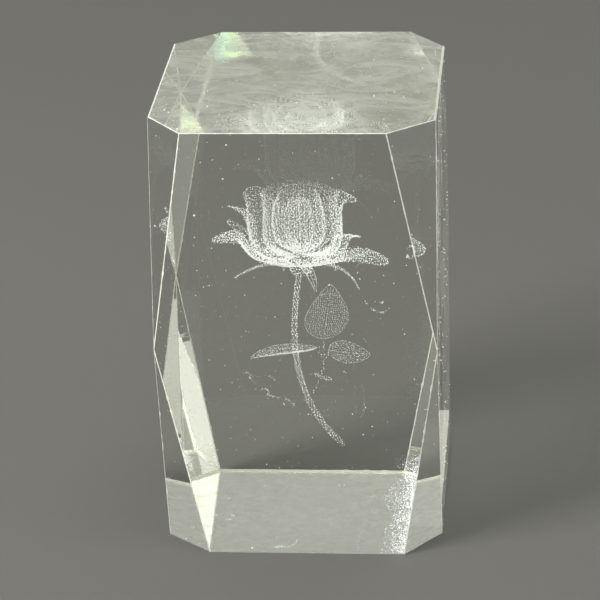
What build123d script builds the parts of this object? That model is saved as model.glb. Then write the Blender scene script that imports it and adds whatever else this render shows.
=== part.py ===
from build123d import *
import math
import os

# Glass paperweight with a rose engraved inside it.
#
# The block is one upright piece of optical glass that stands on its flat base. Its four
# vertical edges are cut away by eight long triangular facets, four from the top and four
# from the bottom, that meet in points at the waist. The rose is a cloud of tiny cracks
# inside the glass, so it is part of the block and nothing is loose in it. Each petal,
# sepal, leaflet and stalk of that cloud is a thin solid here, of the cracked glass that it
# is made of, inside the solid block.
#
# Units are millimetres. The origin is the centre of the base, +Z is up, and the front
# face looks towards -Y.

# Block
block_width = 49.0
block_depth = 50.5
block_height = 80.0
waist_height = block_height / 2
short_leg = 6.4
long_leg = 8.0

# Rose: heights are above the base
crack_layer = 0.24
bloom_base_z = 49.8
hip_top_z = 49.2
hip_radius = 2.05
hip_height = 2.35
stem_diameter = 0.95
stem_top = (-0.45, 47.0)
stem_lean = 10.3
stem_arcs = [(70, 10), (34.5, 18.5), (23.5, 30)]
stalk_diameter = 0.4
stalk_bend = 1.0
grid_steps = 10


def bezier(points, t):
    """Point at t on the Bezier curve of the given control points."""
    degree = len(points) - 1
    weights = [math.comb(degree, i) * t**i * (1 - t) ** (degree - i) for i in range(degree + 1)]
    return [sum(w * p[axis] for w, p in zip(weights, points)) for axis in range(len(points[0]))]


def layer(surface, thickness=crack_layer):
    """Thin solid over a surface given as a function of u (-1 to 1) and v (0 to 1)."""
    rows = [
        [Vector(*surface(2 * i / grid_steps - 1, j / grid_steps)) for i in range(grid_steps + 1)]
        for j in range(grid_steps + 1)
    ]
    face = Face.make_surface_from_array_of_points(rows, tol=0.02, min_deg=3, max_deg=5)
    return Solid.thicken(face, thickness)


def rod(path, diameter):
    """Round rod along a path."""
    start = path @ 0
    return sweep(Plane(origin=start, z_dir=path % 0) * Circle(diameter / 2), path=path)


# ---------------------------------------------------------------- petals and sepals
# A petal wraps round the bloom's axis. Its profile is a Bezier curve of (radius, height above
# the bloom's base), from its foot to its lip. azimuth is its middle, in degrees from +X
# towards +Y, and wrap is half its angle. half_width limits how wide it gets, in millimetres.
# tuck moves one side in and the other out, so that neighbours overlap without touching.
# ruffle waves the lip up and down, tilt raises one side of the lip and lowers the other, and
# round_off draws in the lip's two corners.

def petal_surface(azimuth, profile, wrap, half_width, tuck=0.0, ruffle=0.0, tilt=0.0, round_off=0.12):
    def surface(u, v):
        radius, height = bezier(profile, v * (1 - round_off * abs(u) ** 3))
        radius += tuck * u * v * (2 - v)
        height += (ruffle * math.cos(2 * math.pi * u) + tilt * u) * v**3
        widest = math.radians(wrap)
        spread = (1 - 0.55 * (1 - v) ** 4) * widest * math.tanh(half_width / (radius * widest))
        angle = math.radians(azimuth) + spread * u
        return (radius * math.cos(angle), radius * math.sin(angle), bloom_base_z + height)
    return surface


heart_profile = [(0.7, 2.7), (3.6, 3.1), (3.0, 7.0), (2.9, 11.8), (0.9, 12.2)]
inner_profile = [(0.9, 2.0), (6.2, 2.4), (5.0, 7.0), (4.8, 11.6), (3.3, 13.2)]
cup_profile = [(1.2, 1.3), (9.2, 1.5), (6.4, 6.0), (6.2, 10.5), (7.1, 13.4)]

petals = {}
for i in range(3):
    petals[f"heart_petal_{i + 1}"] = petal_surface(
        40 + 120 * i, heart_profile, wrap=70, half_width=7.0, tuck=0.35, ruffle=0.2)
for i in range(3):
    petals[f"inner_petal_{i + 1}"] = petal_surface(
        150 + 120 * i, inner_profile, wrap=70, half_width=11.0, tuck=0.4, ruffle=0.3)
for i in range(3):
    petals[f"cup_petal_{i + 1}"] = petal_surface(
        90 + 120 * i, cup_profile, wrap=74, half_width=14.0, tuck=0.4, ruffle=0.15, round_off=0.06)
petals["outer_petal_left_high"] = petal_surface(
    160, [(1.6, 0.9), (11.4, 0.9), (9.4, 6.0), (8.6, 11.6), (10.0, 12.5)], wrap=30, half_width=9.0)
petals["outer_petal_left_middle"] = petal_surface(
    206, [(1.9, 0.5), (12.0, 0.4), (8.9, 6.0), (8.3, 10.4), (12.9, 11.6)],
    wrap=14, half_width=3.6, tilt=0.6)
petals["outer_petal_left_low"] = petal_surface(
    186, [(2.2, 0.0), (13.4, -0.6), (8.9, 6.2), (11.4, 5.0), (15.4, 4.2)],
    wrap=40, half_width=5.0, round_off=0.25)
petals["outer_petal_left_small"] = petal_surface(
    168, [(2.0, 0.5), (12.2, 0.5), (9.6, 4.8), (10.4, 4.6), (13.2, 6.7)],
    wrap=14, half_width=2.4, round_off=0.25)
petals["outer_petal_right_high"] = petal_surface(
    12, [(1.6, 0.9), (10.8, 0.7), (7.0, 6.0), (6.4, 13.8), (9.9, 11.0)], wrap=36, half_width=6.0)
petals["outer_petal_right_middle"] = petal_surface(
    24, [(1.9, 0.5), (11.2, 0.3), (7.8, 4.0), (8.2, 4.0), (10.8, 3.4)], wrap=26, half_width=6.0, tilt=-0.9)
petals["outer_petal_right_low"] = petal_surface(
    -4, [(2.2, 0.0), (8.0, 0.2), (9.0, 2.6), (12.5, 1.5), (15.3, 0.1)],
    wrap=50, half_width=5.2, round_off=0.3)
petals["outer_petal_front"] = petal_surface(
    -92, [(1.9, 0.5), (12.4, 0.1), (9.4, 3.0), (8.8, 3.6), (9.2, 4.8)],
    wrap=44, half_width=10.0, ruffle=0.3)
petals["outer_petal_back"] = petal_surface(
    90, [(1.9, 0.5), (12.4, 0.4), (8.8, 4.0), (7.9, 10.0), (8.4, 12.4)], wrap=42, half_width=9.0)


# A sepal or leaflet is a pointed blade along a midrib, which is a Bezier curve in space.
# side is the direction across it, fullness below 1 puts its widest place nearer its foot,
# and fold raises both margins above the midrib, in millimetres per millimetre of width.

def blade_surface(midrib, side, half_width, fullness=0.8, fold=0.0, tip_width=0.12):
    def surface(u, v):
        x, y, z = bezier(midrib, v)
        width = tip_width + half_width * math.sin(math.pi * v**fullness) ** 0.8 if 0 < v < 1 else tip_width
        lift = fold * math.sqrt(u * u + 0.01) * width
        return (x + side[0] * u * width, y + side[1] * u * width, z + side[2] * u * width + lift)
    return surface


sepal_layout = [(-3, 10.2, -5.3), (-72, 9.4, -3.4), (183, 11.7, -3.1), (112, 9.6, -4.2), (55, 9.8, -4.0)]
blades = {}
for i, (azimuth, reach, drop) in enumerate(sepal_layout):
    outward = (math.cos(math.radians(azimuth)), math.sin(math.radians(azimuth)))
    rib = [(1.4, -0.5), (4.4, 0.1), (8.4, -0.6), (reach, drop)]
    blades[f"sepal_{i + 1}"] = blade_surface(
        [(r * outward[0], r * outward[1], bloom_base_z + h) for r, h in rib],
        side=(-outward[1], outward[0], 0), half_width=0.75, fullness=0.6)
blades["leaflet_top"] = blade_surface(
    [(3.75, -2.6, 35.5), (4.2, -2.9, 38.5), (5.1, -3.2, 42.0), (5.3, -3.4, 46.2)],
    side=(0.98, 0.2, -0.06), half_width=3.7, fullness=0.7, fold=0.05)
blades["leaflet_left"] = blade_surface(
    [(2.4, -2.8, 33.9), (-0.8, -4.2, 33.3), (-5.5, -6.2, 33.8), (-9.0, -7.8, 33.2)],
    side=(-0.4, 0.916, 0), half_width=2.9, fullness=0.85, fold=0.24)
blades["leaflet_right"] = blade_surface(
    [(4.5, -2.6, 33.1), (7.0, -4.5, 33.8), (9.6, -6.5, 34.0), (12.1, -8.2, 34.3)],
    side=(-0.2, 0.35, 0.92), half_width=2.0, fullness=0.8)
blades["bract_left"] = blade_surface(
    [(2.6, -1.1, 27.7), (2.4, -1.2, 28.0), (2.2, -1.3, 28.2), (2.0, -1.4, 28.5)],
    side=(0.7, 0, 0.7), half_width=0.16, fullness=0.8)
blades["bract_right"] = blade_surface(
    [(3.0, -1.1, 27.5), (3.6, -1.2, 27.4), (4.2, -1.3, 27.4), (4.8, -1.4, 27.3)],
    side=(0, 0.2, 0.98), half_width=0.2, fullness=0.8)


# ---------------------------------------------------------------- stem, stalks and hip

def make_stem():
    """Rod of tangent arcs in the XZ plane, from under the hip down towards the right."""
    lean = math.radians(stem_lean)
    position, heading = stem_top, (-math.sin(lean), -math.cos(lean))
    arcs = []
    for radius, turn in stem_arcs:
        arc = JernArc(start=position, tangent=heading, radius=radius, arc_size=turn)
        position, heading = arc @ 1, arc % 1
        arcs.append(arc)
    return rod(Plane.XZ * Wire(arcs), stem_diameter)


def make_hip():
    """Bowl-shaped swelling under the petals, flat on top and where the stem joins it."""
    neck = stem_diameter / 2
    bowl = RadiusArc((hip_radius, 0), (neck, -hip_height), hip_height)
    sides = Polyline((neck, -hip_height), (0, -hip_height), (0, 0), (hip_radius, 0))
    return Pos(0, 0, hip_top_z) * revolve(Plane.XZ * make_face([bowl, sides]), axis=Axis.Z)


stalk_routes = {
    "leaf_stalk": [(1.2, -0.4, 24.0), (2.8, -1.0, 27.5), (3.45, -1.4, 29.6), (3.7, -2.4, 35.1)],
    "leaf_stalk_left": [(3.3, -1.95, 31.6), (2.9, -2.3, 32.6), (2.5, -2.7, 33.5)],
    "leaf_stalk_right": [(3.85, -1.9, 31.5), (4.2, -2.2, 32.0), (4.45, -2.5, 32.8)],
}


# ---------------------------------------------------------------- block

def make_block():
    """Upright glass block with its four vertical edges cut to points at the waist."""
    block = Pos(0, 0, block_height / 2) * Box(block_width, block_depth, block_height)
    for end_z in (0, block_height):
        for side_x, side_y in ((-1, -1), (1, -1), (1, 1), (-1, 1)):
            # each face has a short cut at one end and a long one at the other, and the
            # base is turned the other way from the top
            short_first = (side_x == side_y) == (end_z > 0)
            leg_x, leg_y = (short_leg, long_leg) if short_first else (long_leg, short_leg)
            corner = Vector(side_x * block_width / 2, side_y * block_depth / 2, end_z)
            waist = Vector(corner.X, corner.Y, waist_height)
            on_front = corner - Vector(side_x * leg_x, 0, 0)
            on_side = corner - Vector(0, side_y * leg_y, 0)
            normal = (on_front - waist).cross(on_side - waist).normalized()
            if normal.X * side_x < 0:
                normal = -normal
            block = split(block, bisect_by=Plane(origin=waist, z_dir=normal), keep=Keep.BOTTOM)
    return block


def main():
    cracks = {name: layer(surface) for name, surface in {**petals, **blades}.items()}
    cracks["hip"] = make_hip()
    cracks["flower_stem"] = make_stem()
    for name, route in stalk_routes.items():
        cracks[name] = rod(FilletPolyline(*route, radius=stalk_bend), stalk_diameter)

    os.makedirs("parts", exist_ok=True)
    for name, solid in {"crystal_block": make_block(), **cracks}.items():
        solid.label = name
        export_step(solid, f"parts/{name}.step")


main()
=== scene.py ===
import math

import bmesh
import bpy
import numpy as np
from mathutils import Matrix, Vector, noise


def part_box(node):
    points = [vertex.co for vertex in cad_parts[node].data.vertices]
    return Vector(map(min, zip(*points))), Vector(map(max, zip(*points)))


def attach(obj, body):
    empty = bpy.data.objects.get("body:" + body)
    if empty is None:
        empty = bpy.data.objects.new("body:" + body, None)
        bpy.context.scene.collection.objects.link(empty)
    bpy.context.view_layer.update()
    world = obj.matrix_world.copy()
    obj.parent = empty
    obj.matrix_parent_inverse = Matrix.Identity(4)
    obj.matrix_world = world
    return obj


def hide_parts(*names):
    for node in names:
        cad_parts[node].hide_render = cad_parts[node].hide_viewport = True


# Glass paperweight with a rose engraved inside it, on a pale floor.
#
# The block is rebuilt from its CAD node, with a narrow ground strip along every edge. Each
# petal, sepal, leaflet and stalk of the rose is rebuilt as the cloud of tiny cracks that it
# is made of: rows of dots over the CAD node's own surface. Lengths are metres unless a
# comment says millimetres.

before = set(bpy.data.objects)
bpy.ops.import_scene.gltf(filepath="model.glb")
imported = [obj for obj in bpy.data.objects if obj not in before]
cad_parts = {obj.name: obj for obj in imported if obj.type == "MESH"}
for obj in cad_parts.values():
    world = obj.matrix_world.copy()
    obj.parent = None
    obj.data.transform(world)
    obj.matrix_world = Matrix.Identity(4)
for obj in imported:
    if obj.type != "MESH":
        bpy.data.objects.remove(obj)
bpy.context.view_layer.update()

MM = 0.001
BODY = "root"
BLOCK = "crystal_block"
STALKS = ["flower_stem", "leaf_stalk", "leaf_stalk_left", "leaf_stalk_right", "hip"]
LEAVES = ["leaflet_top", "leaflet_left", "leaflet_right"]
ENGRAVED = sorted(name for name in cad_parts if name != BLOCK)
PETALS = [name for name in ENGRAVED if "petal" in name]
CLOSED_PETALS = [name for name in PETALS if not name.startswith("outer")]

block_low, block_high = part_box(BLOCK)
block_middle = (block_low + block_high) / 2
FRONT_Y = block_low.y


# ---------------------------------------------------------------- camera, floor and light

CAMERA_AZIMUTH, CAMERA_ELEVATION, CAMERA_ROLL = map(math.radians, (5.7, 24.63, -2.08))
CAMERA_DISTANCE = 520.9 * MM
CAMERA_LENS = 173.6
CAMERA_TARGET = Vector((-1.34 * MM, 0, 37.92 * MM))


def make_camera():
    back = Vector((
        math.sin(CAMERA_AZIMUTH) * math.cos(CAMERA_ELEVATION),
        -math.cos(CAMERA_AZIMUTH) * math.cos(CAMERA_ELEVATION),
        math.sin(CAMERA_ELEVATION),
    ))
    level_right = (-back).cross(Vector((0, 0, 1))).normalized()
    level_up = level_right.cross(-back)
    right = level_right * math.cos(CAMERA_ROLL) + level_up * math.sin(CAMERA_ROLL)
    up = level_up * math.cos(CAMERA_ROLL) - level_right * math.sin(CAMERA_ROLL)
    data = bpy.data.cameras.new("camera")
    data.lens = CAMERA_LENS
    data.clip_start, data.clip_end = 0.01, 20
    camera = bpy.data.objects.new("camera", data)
    bpy.context.scene.collection.objects.link(camera)
    turn = Matrix((right, up, back)).transposed().to_4x4()
    camera.matrix_world = Matrix.Translation(CAMERA_TARGET + back * CAMERA_DISTANCE) @ turn
    bpy.context.scene.camera = camera


def area_light(name, place, aim, size, power, colour):
    """A rectangular lamp that is seen only through the glass and in it."""
    data = bpy.data.lights.new(name, "AREA")
    data.shape = "RECTANGLE"
    data.size, data.size_y = size
    data.energy = power
    data.color = colour
    light = bpy.data.objects.new(name, data)
    bpy.context.scene.collection.objects.link(light)
    light.location = place
    light.rotation_mode = "QUATERNION"
    light.rotation_quaternion = (Vector(aim) - Vector(place)).to_track_quat("-Z", "Y")
    light.visible_camera = False


def stage_sheet(name, width, height, material):
    """A flat rectangle round the origin that is not part of the object."""
    x, y = width / 2, height / 2
    mesh = bpy.data.meshes.new(name)
    mesh.from_pydata([(-x, -y, 0), (x, -y, 0), (x, y, 0), (-x, y, 0)], [], [(0, 1, 2, 3)])
    mesh.materials.append(material)
    sheet = bpy.data.objects.new(name, mesh)
    bpy.context.scene.collection.objects.link(sheet)
    return sheet


FLOOR_SIZE = 4.0
FLOOR_GAP = 0.05 * MM
FLOOR_COLOUR = (0.185, 0.183, 0.175, 1)


def make_floor():
    material, _, shader = new_material("floor")
    shader.inputs["Base Color"].default_value = FLOOR_COLOUR
    shader.inputs["Roughness"].default_value = 0.8
    floor = stage_sheet("floor", FLOOR_SIZE, FLOOR_SIZE, material)
    floor.location.z = -FLOOR_GAP


PRISM_CARD_PLACE = Vector((-0.379, -0.086, 0.666))
PRISM_CARD_SIZE = (0.020, 0.080)
PRISM_GLOW = 2.3
PRISM_COLOURS = [           # from one side of the card to the other
    (0.05, (0.20, 0.30, 1.00)), (0.20, (0.40, 0.90, 1.00)), (0.42, (0.75, 1.00, 0.80)),
    (0.66, (0.66, 1.00, 0.45)), (1.00, (1.00, 0.92, 0.50)),
]


def prism_material():
    """A glowing spectrum across the card."""
    material = bpy.data.materials.new("prism_card")
    material.use_nodes = True
    tree = material.node_tree
    tree.nodes.clear()
    place = add_node(tree, "ShaderNodeTexCoord")
    split = add_node(tree, "ShaderNodeSeparateXYZ")
    tree.links.new(place.outputs["Generated"], split.inputs["Vector"])
    ramp = add_node(tree, "ShaderNodeValToRGB")
    while len(ramp.color_ramp.elements) < len(PRISM_COLOURS):
        ramp.color_ramp.elements.new(0.5)
    for element, (position, colour) in zip(ramp.color_ramp.elements, PRISM_COLOURS):
        element.position, element.color = position, [*colour, 1]
    tree.links.new(split.outputs["X"], ramp.inputs["Fac"])
    glow = add_node(tree, "ShaderNodeEmission", {"Strength": PRISM_GLOW})
    tree.links.new(ramp.outputs["Color"], glow.inputs["Color"])
    output = add_node(tree, "ShaderNodeOutputMaterial")
    tree.links.new(glow.outputs["Emission"], output.inputs["Surface"])
    return material


def make_prism_card():
    """A small spectrum seen only through the block, for the colours that cut glass splits out of light."""
    card = stage_sheet("prism_card", *PRISM_CARD_SIZE, prism_material())
    ahead = -PRISM_CARD_PLACE.normalized()
    forward = Vector((0, -1, 0))
    across = (forward - ahead * ahead.dot(forward)).normalized()
    turn = Matrix((across, ahead.cross(across), ahead)).transposed().to_4x4()
    card.matrix_world = Matrix.Translation(PRISM_CARD_PLACE) @ turn
    card.visible_camera = card.visible_diffuse = card.visible_shadow = False


LIT_POINT = (0, 0, 0.03)
LIGHTS = [                  # name, place, what it points at, size, watts, colour
    ("key", (-0.56, -0.36, 0.36), LIT_POINT, (0.3, 0.3), 4.5, (1, 0.98, 0.94)),
    ("back_right", (0.65, 0.72, 0.66), LIT_POINT, (0.7, 0.45), 0.9, (1, 0.99, 0.90)),
    ("front_left", (-0.55, -0.95, 0.28), (0, 0, 0.28), (1.3, 0.6), 1.15, (1, 1, 0.90)),
    ("right", (0.70, -0.31, 0.78), LIT_POINT, (0.5, 0.5), 0.8, (1, 0.99, 0.88)),
    ("low_right", (0.085, -0.008, 0.001), (0.085, -0.008, 1), (0.12, 0.075), 0.0115, (1, 1, 0.88)),
    ("overhead", (0.12, -0.10, 1.15), LIT_POINT, (0.3, 0.3), 1.0, (0.92, 0.95, 1)),
]
ROOM_COLOUR = (0.96, 0.96, 0.90, 1)
ROOM_STRENGTH = 0.45
GLASS_BOUNCES = 20          # light turns many times inside the block before it leaves


def make_stage():
    make_floor()
    for light in LIGHTS:
        area_light(*light)
    make_prism_card()

    world = bpy.data.worlds.new("studio")
    bpy.context.scene.world = world
    world.use_nodes = True
    background = world.node_tree.nodes["Background"]
    background.inputs["Color"].default_value = ROOM_COLOUR
    background.inputs["Strength"].default_value = ROOM_STRENGTH
    bpy.context.scene.view_settings.view_transform = "Standard"
    bpy.context.scene.cycles.max_bounces = GLASS_BOUNCES
    bpy.context.scene.cycles.glossy_bounces = GLASS_BOUNCES
    bpy.context.scene.cycles.transmission_bounces = GLASS_BOUNCES


# ---------------------------------------------------------------- materials

def new_material(name):
    """A material, its node tree and its Principled shader."""
    material = bpy.data.materials.new(name)
    material.use_nodes = True
    tree = material.node_tree
    return material, tree, tree.nodes["Principled BSDF"]


def add_node(tree, kind, values=None, **settings):
    """A node with the given settings, and values for its inputs."""
    node = tree.nodes.new(kind)
    for key, value in settings.items():
        setattr(node, key, value)
    for key, value in (values or {}).items():
        node.inputs[key].default_value = value
    return node


def noise_mask(tree, scale, low, high, detail=6.0, distortion=0.0, stretch=(1, 1, 1)):
    """0 to 1 by noise in the piece's own coordinates, 0 below low and 1 above high."""
    place = add_node(tree, "ShaderNodeTexCoord")
    turn = add_node(tree, "ShaderNodeMapping", {"Scale": stretch})
    tree.links.new(place.outputs["Object"], turn.inputs["Vector"])
    look = {"Scale": scale, "Detail": detail, "Distortion": distortion}
    pattern = add_node(tree, "ShaderNodeTexNoise", look)
    tree.links.new(turn.outputs["Vector"], pattern.inputs["Vector"])
    ramp = add_node(tree, "ShaderNodeMapRange", {"From Min": low, "From Max": high})
    tree.links.new(pattern.outputs["Fac"], ramp.inputs["Value"])
    return ramp.outputs["Result"]


def scaled(tree, source, low, high):
    """source, which is 0 to 1, taken to low to high."""
    node = add_node(tree, "ShaderNodeMapRange", {"To Min": low, "To Max": high})
    tree.links.new(source, node.inputs["Value"])
    return node.outputs["Result"]


def larger(tree, first, second):
    """The larger of two values, point by point."""
    node = add_node(tree, "ShaderNodeMath", operation="MAXIMUM")
    tree.links.new(first, node.inputs[0])
    tree.links.new(second, node.inputs[1])
    return node.outputs["Value"]


GLASS_IOR = 1.517
DEPTH_TINT = (0.90, 0.95, 0.74, 1)
DEPTH_DENSITY = 2.2         # per metre


def glass_material(name, tint):
    """Glass, with the faint green-yellow that it takes on with its depth."""
    material, tree, shader = new_material(name)
    shader.inputs["IOR"].default_value = GLASS_IOR
    shader.inputs["Base Color"].default_value = (*tint, 1)
    depth = add_node(tree, "ShaderNodeVolumeAbsorption", {"Color": DEPTH_TINT, "Density": DEPTH_DENSITY})
    tree.links.new(depth.outputs["Volume"], tree.nodes["Material Output"].inputs["Volume"])
    return material, tree, shader


def veil_glass(tree, shader, veil):
    """Lets less through where veil is more than 0."""
    clear = add_node(tree, "ShaderNodeMath", {0: 1.0}, operation="SUBTRACT")
    tree.links.new(veil, clear.inputs[1])
    tree.links.new(clear.outputs["Value"], shader.inputs["Transmission Weight"])


def polished_glass():
    """Clear faces with hairline scratches, a few smudges and grains of dust."""
    material, tree, shader = glass_material("polished_glass", (0.97, 0.985, 0.965))
    smudge = noise_mask(tree, scale=60, low=0.56, high=0.75, distortion=0.6)
    hairs = noise_mask(tree, scale=900, low=0.66, high=0.70, detail=2, stretch=(0.06, 0.06, 1))
    marks = larger(tree, scaled(tree, smudge, 0.0, 0.035), scaled(tree, hairs, 0.0, 0.12))
    tree.links.new(marks, shader.inputs["Roughness"])
    dust = noise_mask(tree, scale=2600, low=0.72, high=0.76, detail=1)
    tree.links.new(scaled(tree, dust, 1.0, 0.80), shader.inputs["Transmission Weight"])
    return material


def dusty_glass():
    """The top face: a veil of dust and finger marks over the polish."""
    material, tree, shader = glass_material("dusty_top_glass", (0.93, 0.94, 0.90))
    cloud = noise_mask(
        tree, scale=80, low=0.36, high=0.66, detail=10, distortion=2.5, stretch=(1, 1.6, 1))
    streaks = noise_mask(
        tree, scale=300, low=0.56, high=0.70, detail=10, distortion=6.0, stretch=(0.7, 1.4, 1))
    grains = noise_mask(tree, scale=1500, low=0.60, high=0.72, detail=2)
    smears = larger(tree, scaled(tree, cloud, 0.20, 0.44), scaled(tree, streaks, 0.0, 0.52))
    veil_glass(tree, shader, larger(tree, smears, scaled(tree, grains, 0.0, 0.6)))
    tree.links.new(scaled(tree, cloud, 0.01, 0.10), shader.inputs["Roughness"])
    return material


def scuffed_glass():
    """The base: fine scratches and worn grains, from standing on tables."""
    material, tree, shader = glass_material("scuffed_base_glass", (0.93, 0.94, 0.86))
    worn = noise_mask(tree, scale=150, low=0.35, high=0.68, detail=8, distortion=1.5)
    grains = noise_mask(tree, scale=1700, low=0.62, high=0.70, detail=3)
    lines = noise_mask(
        tree, scale=420, low=0.66, high=0.70, detail=4, distortion=3.0, stretch=(0.5, 1, 1))
    marks = larger(tree, scaled(tree, grains, 0.0, 0.7), scaled(tree, lines, 0.0, 0.5))
    veil_glass(tree, shader, larger(tree, marks, scaled(tree, worn, 0.20, 0.50)))
    tree.links.new(scaled(tree, worn, 0.0, 0.06), shader.inputs["Roughness"])
    return material


def ground_glass():
    """The ground strips along the edges, which scatter light and look white, helped by a faint painted
    glow.
    """
    material, tree, shader = glass_material("ground_arris", (0.97, 0.98, 0.90))
    # painted glow: the strips give off a little light of their own, to make them whiter
    shader.inputs["Emission Color"].default_value = (0.97, 0.98, 0.88, 1)
    shader.inputs["Emission Strength"].default_value = 0.18
    grain = noise_mask(tree, scale=3000, low=0.35, high=0.65, detail=3)
    tree.links.new(scaled(tree, grain, 0.3, 0.5), shader.inputs["Roughness"])
    tree.links.new(scaled(tree, grain, 0.4, 0.0), shader.inputs["Transmission Weight"])
    bump = add_node(tree, "ShaderNodeBump", {"Strength": 0.5, "Distance": 0.05 * MM})
    tree.links.new(grain, bump.inputs["Height"])
    tree.links.new(bump.outputs["Normal"], shader.inputs["Normal"])
    return material


CRACK_SHADE = 0.72          # the dullest crack's colour, as a share of the brightest one's


def cracked_glass(name, tint, glow):
    """The white of a tiny crack, a little uneven from one to the next, with a painted glow of that colour.
    """
    material, tree, shader = new_material(name)
    place = add_node(tree, "ShaderNodeTexCoord")
    pattern = add_node(tree, "ShaderNodeTexNoise", {"Scale": 1400, "Detail": 2})
    tree.links.new(place.outputs["Object"], pattern.inputs["Vector"])
    ramp = add_node(tree, "ShaderNodeValToRGB")
    darker, full = ramp.color_ramp.elements
    darker.position, darker.color = 0.3, [*(channel * CRACK_SHADE for channel in tint), 1]
    full.position, full.color = 0.65, [*tint, 1]
    tree.links.new(pattern.outputs["Fac"], ramp.inputs["Fac"])
    tree.links.new(ramp.outputs["Color"], shader.inputs["Base Color"])
    # painted glow: the crack gives off light of its own colour, standing in for the light that it scatters
    tree.links.new(ramp.outputs["Color"], shader.inputs["Emission Color"])
    shader.inputs["Emission Strength"].default_value = glow
    shader.inputs["Roughness"].default_value = 0.9
    shader.inputs["IOR"].default_value = 1.1
    return material


# ---------------------------------------------------------------- glass block

POLISHED, DUSTY, GROUND, SCUFFED = range(4)     # the block's materials, in their order

ARRIS = 0.11 * MM           # how wide the ground strip along an edge is, each side
WIDE_ARRIS = 0.38 * MM      # the same along the base's back and sides and the top's two sides
ARRIS_STEP = 0.4 * MM       # how far apart the points along it are
ARRIS_BULGE = 0.075         # how far its middle stands out, as a share of its width
NICK_DEPTH = 0.14 * MM      # the deepest nick in an edge
NICK_LEVEL = 0.35           # there is a nick where noise is above this
NICK_SCALE = 800            # of the noise, per metre, as is the next
RIPPLE_SCALE = 900
RIPPLE_SHARE = 0.35         # the ripple in a strip's border, as a share of its width
SHARPEST_CORNER = 0.3       # corners whose angle has a smaller sine are inset as if it were this
LEVEL_NORMAL = 0.9          # the top's and the base's normals rise or fall by more than this


def arris(edge):
    """How wide the ground strip is along an edge, each side of it."""
    middle = (edge.verts[0].co + edge.verts[1].co) / 2
    level = abs(edge.verts[0].co.z - edge.verts[1].co.z) < 0.1 * MM
    if middle.z < block_middle.z:
        wide = level and middle.y > FRONT_Y / 2
    else:
        wide = level and abs(middle.x) > 0.98 * block_high.x
    return WIDE_ARRIS if wide else ARRIS


def nick(point):
    """How far the strip's border strays at a point: a fine ripple, with a nick here and there."""
    ripple = noise.noise(point * RIPPLE_SCALE)
    bite = max(0.0, noise.noise(point * NICK_SCALE + Vector((7, 3, 1))) - NICK_LEVEL)
    return RIPPLE_SHARE * ARRIS * ripple + NICK_DEPTH * min(bite * 4, 1)


def block_polyhedron():
    """The CAD block as flat faces with sharp edges."""
    solid = bmesh.new()
    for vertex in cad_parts[BLOCK].data.vertices:
        solid.verts.new(vertex.co)
    bmesh.ops.remove_doubles(solid, verts=solid.verts, dist=0.01 * MM)
    hull = bmesh.ops.convex_hull(solid, input=solid.verts)
    bmesh.ops.delete(solid, geom=hull["geom_interior"] + hull["geom_unused"], context="VERTS")
    bmesh.ops.dissolve_limit(
        solid, angle_limit=math.radians(0.5), verts=solid.verts, edges=solid.edges)
    bmesh.ops.recalc_face_normals(solid, faces=solid.faces)
    return solid


def inset_corner(loop):
    """Where the two strips beside a corner of a face meet, in the face's plane."""
    before = (loop.link_loop_prev.vert.co - loop.vert.co).normalized()
    after = (loop.link_loop_next.vert.co - loop.vert.co).normalized()
    inset = before * arris(loop.edge) + after * arris(loop.link_loop_prev.edge)
    return loop.vert.co + inset / max(before.cross(after).length, SHARPEST_CORNER)


def flat_material(face):
    """Which material one of the block's flat faces has."""
    if face.normal.z > LEVEL_NORMAL:
        return DUSTY
    if face.normal.z < -LEVEL_NORMAL:
        return SCUFFED
    return POLISHED


def strip_border(made, edge, face, corners):
    """The strip's border in one face, from the edge's first vertex to its second."""
    first, last = corners[face, edge.verts[0]], corners[face, edge.verts[1]]
    inward = face.normal.cross((edge.verts[1].co - edge.verts[0].co).normalized())
    if inward.dot(face.calc_center_median() - edge.verts[0].co) < 0:
        inward.negate()
    count = max(2, round(edge.calc_length() / ARRIS_STEP))
    points = [first]
    for i in range(1, count):
        on_edge = first.co.lerp(last.co, i / count)
        fade = math.sin(math.pi * i / count) ** 0.3
        points.append(made.verts.new(on_edge + inward * nick(on_edge) * fade))
    return [*points, last]


def strip_ridge(made, edge, border, other):
    """The line along the middle of the strip, which bulges a little."""
    outward = ((edge.verts[0].co + edge.verts[1].co) / 2 - block_middle).normalized()
    ridge = []
    for p, q in zip(border, other):
        middle = (p.co + q.co) / 2
        bulge = ARRIS_BULGE * (p.co - q.co).length * (0.6 + noise.noise(middle * RIPPLE_SCALE))
        ridge.append(made.verts.new(middle + outward * bulge))
    return ridge


def corner_ring(vertex, corners, ridges):
    """The points round a corner of the block, in order, that its small ground face joins."""
    ring = []
    loop = first = vertex.link_loops[0]
    while True:
        ring.append(corners[loop.face, vertex])
        ridge = ridges[loop.edge]
        ring.append(ridge[0] if loop.edge.verts[0] == vertex else ridge[-1])
        loop = loop.link_loop_radial_next.link_loop_next
        if loop == first:
            return ring


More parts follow.
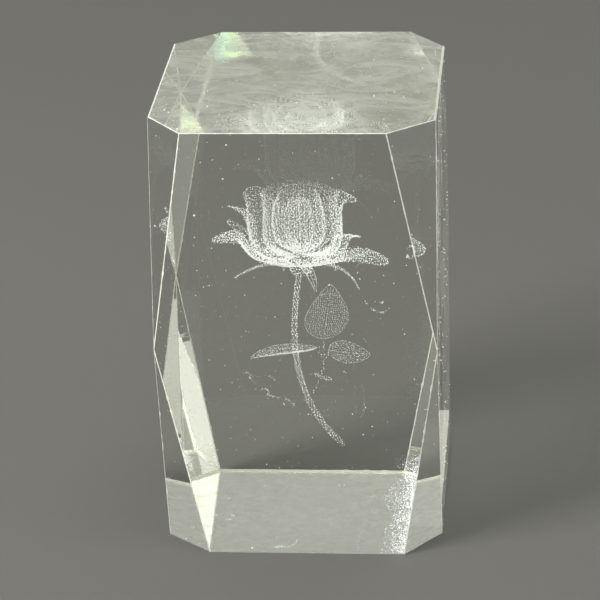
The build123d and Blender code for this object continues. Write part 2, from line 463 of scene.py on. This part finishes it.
def block_mesh():
    """The polyhedron with a ground, slightly nicked strip along every edge."""
    solid = block_polyhedron()
    made = bmesh.new()
    corners, borders, ridges = {}, {}, {}
    for face in solid.faces:
        for loop in face.loops:
            corners[face, loop.vert] = made.verts.new(inset_corner(loop))

    for edge in solid.edges:
        for face in edge.link_faces:
            borders[edge, face] = strip_border(made, edge, face, corners)
        ridge = strip_ridge(made, edge, *(borders[edge, face] for face in edge.link_faces))
        ridges[edge] = ridge
        for face in edge.link_faces:
            border = borders[edge, face]
            for i in range(len(ridge) - 1):
                strip = made.faces.new((border[i], border[i + 1], ridge[i + 1], ridge[i]))
                strip.material_index = GROUND

    for face in solid.faces:
        round_face = []
        for loop in face.loops:
            border = borders[loop.edge, face]
            run = border if loop.edge.verts[0] == loop.vert else border[::-1]
            round_face += run[:-1]
        made.faces.new(round_face).material_index = flat_material(face)

    for vertex in solid.verts:
        made.faces.new(corner_ring(vertex, corners, ridges)).material_index = GROUND

    bmesh.ops.recalc_face_normals(made, faces=made.faces)
    mesh = bpy.data.meshes.new("crystal_glass")
    made.to_mesh(mesh)
    made.free()
    solid.free()
    return mesh


def make_block():
    mesh = block_mesh()
    for material in (polished_glass(), dusty_glass(), ground_glass(), scuffed_glass()):
        mesh.materials.append(material)
    block = bpy.data.objects.new("crystal_glass", mesh)
    bpy.context.scene.collection.objects.link(block)
    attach(block, BODY)
    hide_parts(BLOCK)
    return block


# ---------------------------------------------------------------- engraved dots

ROW_GAP = 0.37 * MM         # between rows of dots, and between dots in a row
RIM_GAP = 0.28 * MM         # between the dots that outline a petal or a leaf
LEAST_GAP = 0.24 * MM       # dots nearer than this are thinned out
STALK_GAP = 0.50 * MM       # the same as ROW_GAP, for the stem, the stalks and the hip
STALK_LEAST_GAP = 0.46 * MM  # the same as LEAST_GAP, for those
LEAST_SHARE = 0.04          # surfaces below this share of a stalk's area carry no dots
JITTER = 0.09 * MM          # how far a petal's dots stray from their places; the others stray half as far
DOT_RADIUS = 0.078 * MM
DOT_SPREAD = (0.6, 1.4)     # the smallest and the largest dot, as shares of that
BLOOM_SHARES = (1.2, 0.85)  # how large the dots are at the foot of the bloom and at its lip
INNER_SHARE = 0.85          # the closed petals in the middle have smaller dots
STALK_SHARE = 1.25          # the stem, the stalks and the hip have larger ones


def islands(mesh):
    """The CAD node's surfaces, each as (points, triangles), the largest first."""
    points = np.array([v.co for v in mesh.vertices], float)
    mesh.calc_loop_triangles()
    triangles = np.array([t.vertices for t in mesh.loop_triangles])
    owner = np.arange(len(points))
    while True:
        lowest = owner[triangles].min(axis=1)
        before = owner.copy()
        for corner in range(3):
            np.minimum.at(owner, triangles[:, corner], lowest)
        owner = owner[owner]
        if (owner == before).all():
            break
    found = []
    for label in np.unique(owner[triangles[:, 0]]):
        part = triangles[owner[triangles[:, 0]] == label]
        a, b, c = (points[part[:, k]] for k in range(3))
        area = np.linalg.norm(np.cross(b - a, c - a), axis=1).sum() / 2
        found.append((area, points, part))
    found.sort(key=lambda entry: -entry[0])
    return found


def chains(links):
    """The lines that links between pairs of keys make, each as a list of keys."""
    near = {}
    for a, b in links:
        near.setdefault(a, []).append(b)
        near.setdefault(b, []).append(a)
    ends = [key for key, others in near.items() if len(others) == 1]
    lines, used = [], set()
    for start in ends + list(near):
        if start in used:
            continue
        line = [start]
        used.add(start)
        while True:
            onward = [key for key in near[line[-1]] if key not in used]
            if not onward:
                break
            line.append(onward[0])
            used.add(onward[0])
        if len(line) > 1:
            lines.append(line)
    return lines


def contour(points, triangles, field, level):
    """The lines on a surface along which field equals level, each as an array of points."""
    above = field[triangles] > level
    crossed = triangles[above.any(axis=1) & ~above.all(axis=1)]
    places, links = {}, []
    for triangle in crossed:
        keys = []
        for i, j in ((0, 1), (1, 2), (2, 0)):
            a, b = sorted((int(triangle[i]), int(triangle[j])))
            if (field[a] > level) != (field[b] > level):
                share = (level - field[a]) / (field[b] - field[a])
                places[a, b] = points[a] + (points[b] - points[a]) * share
                keys.append((a, b))
        links.append(keys)
    return [np.array([places[key] for key in line]) for line in chains(links)]


def outline(points, triangles):
    """A surface's own border, as arrays of points."""
    count = {}
    for triangle in triangles:
        for i, j in ((0, 1), (1, 2), (2, 0)):
            key = tuple(sorted((int(triangle[i]), int(triangle[j]))))
            count[key] = count.get(key, 0) + 1
    lines = chains([key for key, times in count.items() if times == 1])
    return [points[line + [line[0]]] for line in lines]


def along(line, gap, start=0.0):
    """Points every gap along a line."""
    steps = np.linalg.norm(np.diff(line, axis=0), axis=1)
    run = np.concatenate([[0], np.cumsum(steps)])
    stops = np.arange(start * gap, run[-1], gap)
    return np.stack([np.interp(stops, run, line[:, k]) for k in range(3)], axis=1)


def rows(points, triangles, field, gap=ROW_GAP):
    """Rows of dots over a surface, one along each contour of field, every other one half a step on."""
    used = field[np.unique(triangles)]
    found = []
    levels = np.arange(math.floor(used.min() / gap), math.ceil(used.max() / gap) + 1)
    for number in levels:
        for line in contour(points, triangles, field, (number + 0.5) * gap):
            found.append(along(line, gap, start=0.25 + 0.5 * (number % 2)))
    return np.concatenate([np.empty((0, 3)), *found])


def thinned(points, least):
    """The points, less those nearer than least to one already kept."""
    kept, cells = [], {}
    for point in points:
        cell = tuple(np.floor(point / least).astype(int))
        around = [
            other
            for i in (-1, 0, 1) for j in (-1, 0, 1) for k in (-1, 0, 1)
            for other in cells.get((cell[0] + i, cell[1] + j, cell[2] + k), ())
        ]
        if all(np.dot(point - other, point - other) >= least * least for other in around):
            kept.append(point)
            cells.setdefault(cell, []).append(point)
    return np.array(kept)


def petal_dots(points, triangles):
    """Rows that run from a petal's foot to its lip, in planes through the bloom's axis."""
    low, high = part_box("hip")
    axis = (np.array(low) + np.array(high)) / 2
    used = np.unique(triangles)
    offset = points[:, :2] - axis[:2]
    middle = offset[used].mean(axis=0)
    facing = math.atan2(middle[1], middle[0])
    angle = np.arctan2(offset[:, 1], offset[:, 0]) - facing
    angle = (angle + math.pi) % (2 * math.pi) - math.pi
    radius = np.linalg.norm(offset[used], axis=1).mean()
    return rows(points, triangles, angle * radius)


def blade_frame(points, triangles):
    """Coordinates along a leaf or sepal and across it, for each point."""
    used = points[np.unique(triangles)]
    centre = used.mean(axis=0)
    axes = np.linalg.svd(used - centre, full_matrices=False)[2]
    return (points - centre) @ axes[0], (points - centre) @ axes[1]


def engraved_points(name):
    """Where the dots of a node are: in a petal or a leaf in one of its two broad surfaces."""
    found = islands(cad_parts[name].data)
    if name in STALKS:
        total = sum(area for area, _, _ in found)
        large = [(points, triangles) for area, points, triangles in found if area > LEAST_SHARE * total]
        dots = [rows(points, triangles, points[:, 2], STALK_GAP) for points, triangles in large]
        return thinned(np.concatenate(dots), STALK_LEAST_GAP)
    _, points, triangles = found[1]
    rim = [] if name in CLOSED_PETALS else [along(line, RIM_GAP) for line in outline(points, triangles)]
    if name in PETALS:
        inside = petal_dots(points, triangles)
    else:
        lengthwise, across = blade_frame(points, triangles)
        inside = rows(points, triangles, lengthwise)
        rim += [along(line, RIM_GAP) for line in contour(points, triangles, across, 0.0)]
    return thinned(np.concatenate(rim + [inside]), LEAST_GAP)


OCTAHEDRON = np.array([(1, 0, 0), (-1, 0, 0), (0, 1, 0), (0, -1, 0), (0, 0, 1), (0, 0, -1)], float)
OCTAHEDRON_FACES = np.array(
    [(0, 2, 4), (2, 1, 4), (1, 3, 4), (3, 0, 4), (2, 0, 5), (1, 2, 5), (3, 1, 5), (0, 3, 5)])


def random_turns(chance, count):
    """count rotation matrices, evenly spread."""
    q = chance.normal(size=(count, 4))
    w, x, y, z = (q / np.linalg.norm(q, axis=1, keepdims=True)).T
    return np.array([
        [1 - 2 * (y * y + z * z), 2 * (x * y - z * w), 2 * (x * z + y * w)],
        [2 * (x * y + z * w), 1 - 2 * (x * x + z * z), 2 * (y * z - x * w)],
        [2 * (x * z - y * w), 2 * (y * z + x * w), 1 - 2 * (x * x + y * y)],
    ]).transpose(2, 0, 1)


def flecks(name, places, radii, material, chance, flatten=(1, 1, 1)):
    """One mesh of many small eight-sided flecks."""
    count = len(places)
    turned = np.einsum("nij,kj->nki", random_turns(chance, count), OCTAHEDRON * flatten)
    corners = places[:, None, :] + turned * np.asarray(radii)[:, None, None]
    faces = OCTAHEDRON_FACES[None] + 6 * np.arange(count)[:, None, None]
    mesh = bpy.data.meshes.new(name)
    mesh.from_pydata(corners.reshape(-1, 3).tolist(), [], faces.reshape(-1, 3).tolist())
    mesh.materials.append(material)
    piece = bpy.data.objects.new(name, mesh)
    bpy.context.scene.collection.objects.link(piece)
    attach(piece, BODY)
    return piece


def make_rose():
    # the last number of each is the strength of its painted glow, which lifts the dots above the light
    # they get
    bloom_white = cracked_glass("cracks_in_bloom", (0.95, 0.98, 0.95), 0.75)
    leaf_white = cracked_glass("cracks_in_leaves", (0.92, 0.96, 0.93), 0.6)
    stalk_white = cracked_glass("cracks_in_stalks", (0.95, 0.96, 0.92), 0.75)
    bloom_low = min(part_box(name)[0][2] for name in PETALS)
    bloom_high = max(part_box(name)[1][2] for name in PETALS)
    for number, name in enumerate(ENGRAVED):
        chance = np.random.default_rng(number + 1)
        places = engraved_points(name)
        loose = JITTER if name in PETALS else JITTER / 2
        places = places + chance.normal(scale=loose, size=places.shape)
        radii = DOT_RADIUS * chance.uniform(*DOT_SPREAD, len(places))
        if name in PETALS:
            radii *= np.interp(places[:, 2], (bloom_low, bloom_high), BLOOM_SHARES)
        if name in CLOSED_PETALS:
            radii *= INNER_SHARE
        elif name in STALKS:
            radii *= STALK_SHARE
        material = stalk_white if name in STALKS else leaf_white if name in LEAVES else bloom_white
        cloud = flecks(name + "_dots", places, radii, material, chance)
        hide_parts(name)


# ---------------------------------------------------------------- marks of use

MARK_DEPTH = 0.02 * MM      # how far from the glass's surface the middle of a mark's fleck is

SCRATCH_STEP = 0.045        # millimetres between flecks in a scratch
SCRATCH_SPREAD = 0.11       # how far they stray from its line, in millimetres
SCRATCH_BREAKS = 1.7        # per millimetre: how soon a scratch breaks off and starts again
SCRATCH_SIZES = (0.03, 0.07)    # the smallest fleck, and what the largest adds, in millimetres

# Scratches in the front face: how strong each is, and its points (x, height) in millimetres.
SCRATCHES = [
    (0.8, [(-5.0, 31.6), (-4.2, 30.6), (-2.6, 31.4), (-1.6, 31.0), (-0.2, 29.1)]),
    (0.55, [(-6.1, 32.3), (-5.7, 33.4), (-5.2, 31.6), (-4.7, 33.2), (-4.9, 31.7)]),
    (0.4, [(-9.3, 35.7), (-8.0, 35.9), (-7.2, 34.6), (-6.2, 34.9)]),
    (0.45, [(-8.6, 36.2), (-8.3, 35.0), (-7.6, 34.0), (-6.8, 33.4)]),
    (0.4, [(-8.9, 34.6), (-8.0, 34.2), (-7.3, 35.4)]),
    (0.5, [(-5.4, 35.0), (-4.6, 35.5), (-3.9, 34.6), (-3.2, 33.7)]),
    (0.9, [(12.1, 49.8), (12.6, 48.4), (14.0, 47.3), (15.4, 46.9), (15.9, 47.7)]),
    (0.9, [(14.9, 49.1), (15.3, 49.7), (15.6, 49.1), (15.0, 49.0)]),
    (1.0, [(20.3, 59.7), (21.1, 59.6), (20.9, 57.6), (20.2, 57.3)]),
    (1.0, [(20.3, 59.7), (19.3, 59.3), (19.4, 57.5), (20.2, 57.3)]),
    (1.0, [(-20.5, 62.0), (-21.2, 61.6), (-21.1, 60.6), (-20.6, 60.5)]),
    (0.9, [(-20.5, 62.0), (-20.2, 61.5), (-20.4, 60.9), (-20.6, 60.5)]),
    (0.35, [(10.5, 34.4), (9.7, 31.0), (10.0, 28.6), (11.0, 27.1)]),
    (0.35, [(11.2, 33.5), (12.1, 30.8), (11.8, 28.6), (11.0, 27.1)]),
    (0.3, [(11.6, 42.5), (12.4, 42.0), (12.9, 41.1)]),
    (0.6, [(-16.0, 7.0), (-14.6, 8.3), (-12.6, 8.0), (-11.9, 7.4)]),
    (0.6, [(-16.0, 6.9), (-14.2, 6.3), (-12.6, 6.6), (-11.9, 7.4)]),
    (0.9, [(-5.1, 0.8), (-4.4, 2.3), (-3.0, 0.2), (-1.6, 1.6), (-0.5, 2.9)]),
    (0.5, [(10.8, 11.3), (12.6, 11.8), (14.5, 11.8), (16.3, 12.0)]),
    (0.4, [(9.9, 0.9), (9.7, 2.6), (10.1, 3.9), (10.8, 4.9)]),
    (0.4, [(13.8, 1.3), (14.0, 3.0), (14.6, 4.2), (15.3, 5.0)]),
]


def bezier(points, t):
    """Point at t on the Bezier curve of the given control points."""
    points = [Vector(p) for p in points]
    while len(points) > 1:
        points = [a.lerp(b, t) for a, b in zip(points, points[1:])]
    return points[0]


def scratch_flecks(chance):
    """Places and sizes of the crushed glass along the scratches, which break off and start again."""
    places, radii = [], []
    smallest, added = SCRATCH_SIZES
    for number, (strength, line) in enumerate(SCRATCHES):
        length = sum((Vector(b) - Vector(a)).length for a, b in zip(line, line[1:]))
        count = round(length / SCRATCH_STEP)
        for i in range(count):
            here = bezier(line, (i + chance.random()) / count)
            whole = 0.5 + noise.noise(Vector((*(here * SCRATCH_BREAKS), number * 3.0)))
            if chance.random() > strength * whole * 2:
                continue
            x, height = (value + chance.normal(scale=SCRATCH_SPREAD) for value in here)
            places.append((x * MM, FRONT_Y + MARK_DEPTH, height * MM))
            radii.append((smallest + added * strength * whole * chance.random()) * MM)
    return np.array(places), np.array(radii)


def front_cut_edge():
    """The lower right edge of the front face: its foot and its top, at the waist."""
    points = [v.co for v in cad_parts[BLOCK].data.vertices if abs(v.co.y - FRONT_Y) < 0.1 * MM]
    foot = max((p for p in points if p.z < 0.1 * MM), key=lambda p: p.x)
    waist = max(points, key=lambda p: p.x)
    return foot, waist


BRUISE_FLECKS = 3000
BRUISE_SIZES = (-2.75, 0.45, 0.16)
BRUISE_RISE = 0.50          # how far up the edge it goes, as a share of the edge's length
BRUISE_FADE = 0.40          # the share from which it thins out
BRUISE_AWAY = 1.8 * MM      # how far from the edge its flecks are on average, before the limit
BRUISE_REACH = 4.2 * MM     # that limit, which noise varies by up to half
BRUISE_DEPTH = 0.12 * MM
BRUISE_LIFT = 0.3 * MM      # how far above the edge's foot it starts


def bruise_points(chance):
    """Crushed glass beside the front face's lower right edge, thick at the edge and thin away from it."""
    foot, waist = front_cut_edge()
    places = []
    while len(places) < BRUISE_FLECKS:
        rise = chance.uniform(0, BRUISE_RISE)
        away = chance.exponential(BRUISE_AWAY)
        if rise > BRUISE_FADE and chance.random() < (rise - BRUISE_FADE) / (BRUISE_RISE - BRUISE_FADE):
            continue
        reach = BRUISE_REACH * (1 + 0.5 * noise.noise(Vector((rise * 9, 2, 5))))
        if away > reach:
            continue
        edge = foot.lerp(waist, rise)
        depth = chance.uniform(0, BRUISE_DEPTH)
        places.append((edge.x - away, FRONT_Y + depth, edge.z + BRUISE_LIFT))
    return np.array(places)


DUST_GRAINS = 1000
DUST_SIZES = (-2.45, 0.5, 0.24)
DUSTY_NORMAL = -0.9         # the base's normal falls further than this, and the base carries no dust
LEAST_TRIANGLE = 1e-8       # square metres; smaller triangles carry no dust


def dust_points(block, chance):
    """Places all over the block's faces, the base left out."""
    mesh = block.data
    mesh.calc_loop_triangles()
    usable = [t for t in mesh.loop_triangles if t.normal.z > DUSTY_NORMAL and t.area > LEAST_TRIANGLE]
    areas = np.array([t.area for t in usable])
    picked = chance.choice(len(usable), DUST_GRAINS, p=areas / areas.sum())
    places = []
    for index in picked:
        a, b, c = (mesh.vertices[k].co for k in usable[index].vertices)
        u, v = chance.random(2)
        if u + v > 1:
            u, v = 1 - u, 1 - v
        places.append(a + (b - a) * u + (c - a) * v + usable[index].normal * MARK_DEPTH)
    return np.array(places)


def fleck_sizes(chance, count, mean, spread, largest):
    """Radii by the mean and the spread of their logarithm in millimetres, none above the largest."""
    return np.minimum(chance.lognormal(mean, spread, count), largest) * MM


def make_marks(block):
    # the crushed glass of the scratches and the bruise glows a little: painted glow
    crushed = cracked_glass("crushed_glass", (0.95, 0.97, 0.95), 0.85)
    chance = np.random.default_rng(303)
    places, radii = scratch_flecks(chance)
    scratches = flecks("face_scratches", places, radii, crushed, chance, (1, 0.8, 0.5))

    chance = np.random.default_rng(101)
    radii = fleck_sizes(chance, BRUISE_FLECKS, *BRUISE_SIZES)
    bruise = flecks("corner_bruise", bruise_points(chance), radii, crushed, chance, (1, 0.8, 0.5))

    # the dust grains glow a little too: painted glow
    grey = cracked_glass("dust", (0.92, 0.92, 0.88), 0.5)
    chance = np.random.default_rng(202)
    radii = fleck_sizes(chance, DUST_GRAINS, *DUST_SIZES)
    dust = flecks("surface_dust", dust_points(block, chance), radii, grey, chance, (1, 0.7, 0.5))


make_camera()
make_stage()
the_block = make_block()
make_rose()
make_marks(the_block)
